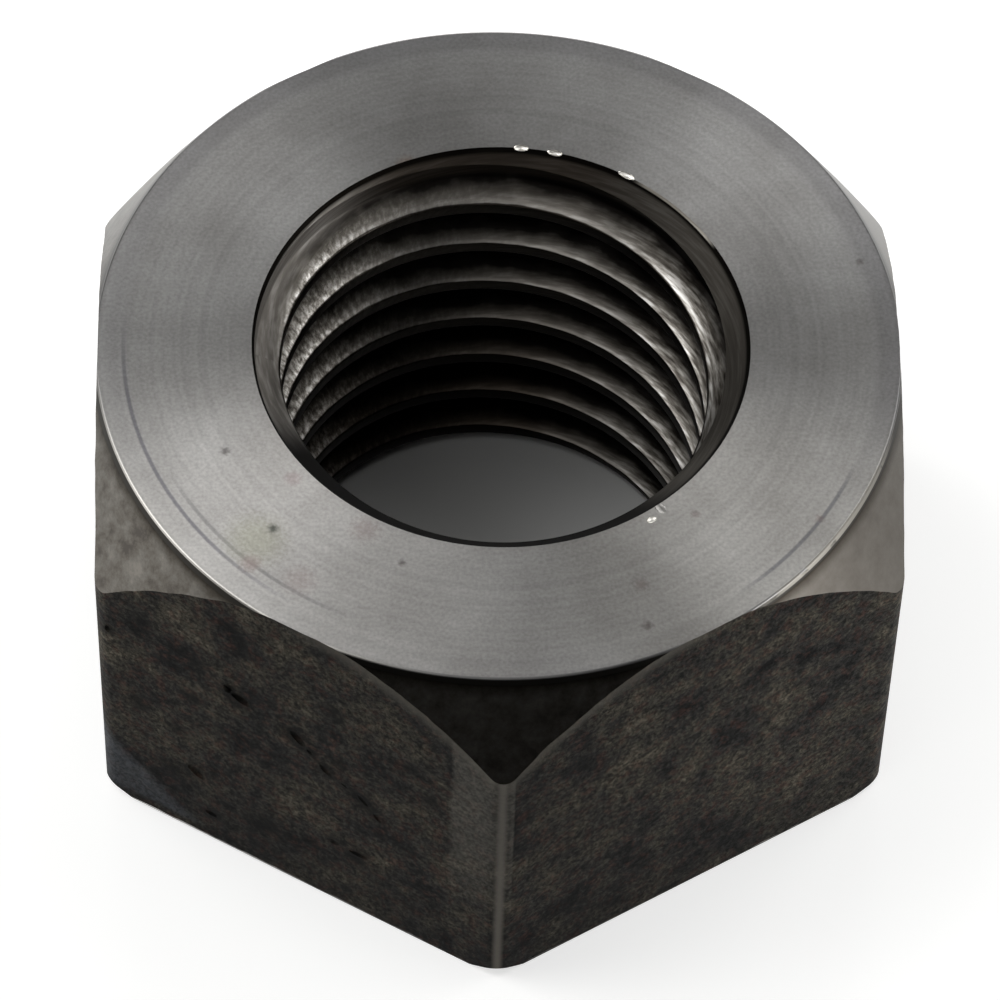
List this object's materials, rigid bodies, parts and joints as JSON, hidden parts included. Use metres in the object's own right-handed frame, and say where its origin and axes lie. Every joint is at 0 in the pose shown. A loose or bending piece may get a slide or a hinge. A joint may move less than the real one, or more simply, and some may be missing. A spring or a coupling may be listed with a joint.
{
  "type": "arbor nut",
  "caption": "Thick hexagonal arbor nut with a full-width turned clamping face, steep corner chamfers and a coarse threaded through bore.",
  "frame": {"origin": "on the bore axis, in the plane of the plain under face", "axes": "+Z along the bore towards the turned clamping face, +X square to one flat, -Y through a corner"},
  "size_m": [0.0318, 0.0364, 0.0182],
  "materials": {
    "nut_steel": "plain carbon steel: clamping face, chamfers and bore turned and left bare, flats still in dark rolled scale"
  },
  "bodies": {
    "root": {"nut": "nut_steel"}
  },
  "joints": []
}
